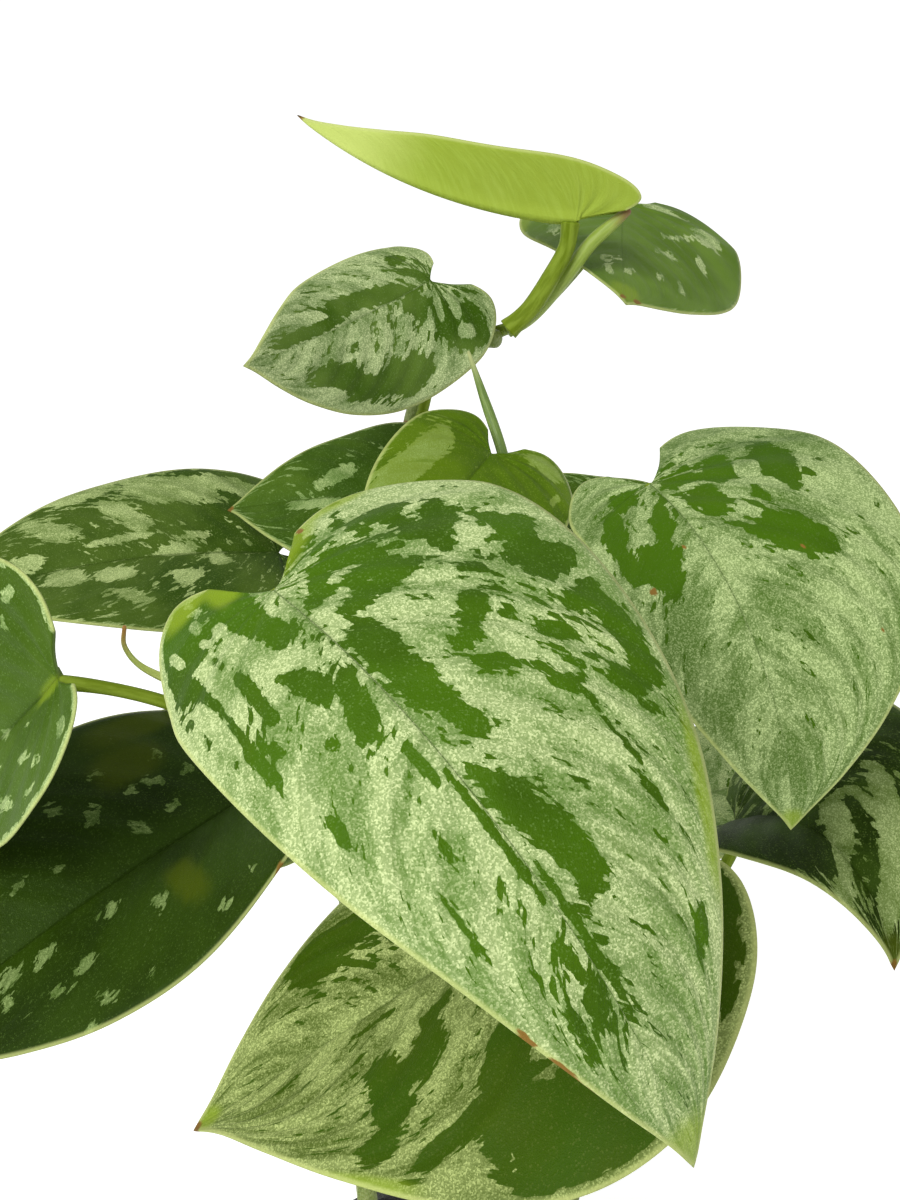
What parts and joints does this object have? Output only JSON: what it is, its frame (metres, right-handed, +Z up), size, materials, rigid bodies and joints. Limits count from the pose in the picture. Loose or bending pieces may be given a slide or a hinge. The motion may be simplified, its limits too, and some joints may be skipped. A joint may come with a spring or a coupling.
{
  "type": "potted satin pothos",
  "caption": "House plant with heart-shaped, silver-marked satin leaves on climbing vines, in a plain round nursery pot; it stands on its flat base.",
  "frame": {"origin": "middle of the pot's flat underside", "axes": "+Z up along the pot's axis; the plant's fullest side, with its largest hanging leaf, faces -Y"},
  "size_m": [0.2362, 0.3113, 0.3827],
  "materials": {
    "leaf_tissue": "satin",
    "young_leaf": "satin",
    "vine_stem": "satin",
    "dry_sheath": "matte",
    "potting_mix": "matte",
    "pot_plastic": "satin"
  },
  "bodies": {
    "root": {"leaf_front": "leaf_tissue", "leaf_right": "leaf_tissue", "leaf_under": "leaf_tissue", "leaf_low_left": "leaf_tissue", "leaf_left": "leaf_tissue", "leaf_far_left": "leaf_tissue", "leaf_mid_left": "leaf_tissue", "leaf_top_left": "leaf_tissue", "leaf_top_right": "leaf_tissue", "leaf_low_right": "leaf_tissue", "leaf_back_right": "leaf_tissue", "leaf_rear_left": "leaf_tissue", "leaf_rear_middle": "leaf_tissue", "leaf_rear_right": "leaf_tissue", "leaf_rear_low": "leaf_tissue", "leaf_side_right": "leaf_tissue", "leaf_side_left": "leaf_tissue", "leaf_rim_front": "leaf_tissue", "leaf_rim_left": "leaf_tissue", "leaf_rim_right": "leaf_tissue", "leaf_rim_back": "leaf_tissue", "leaf_young": "young_leaf", "leaf_folded": "young_leaf", "spear": "young_leaf", "sheath_top": "young_leaf", "stem_left": "vine_stem", "stem_right": "vine_stem", "stem_middle": "vine_stem", "stem_back": "vine_stem", "sheath": "dry_sheath", "soil": "potting_mix", "pot": "pot_plastic"}
  },
  "joints": []
}
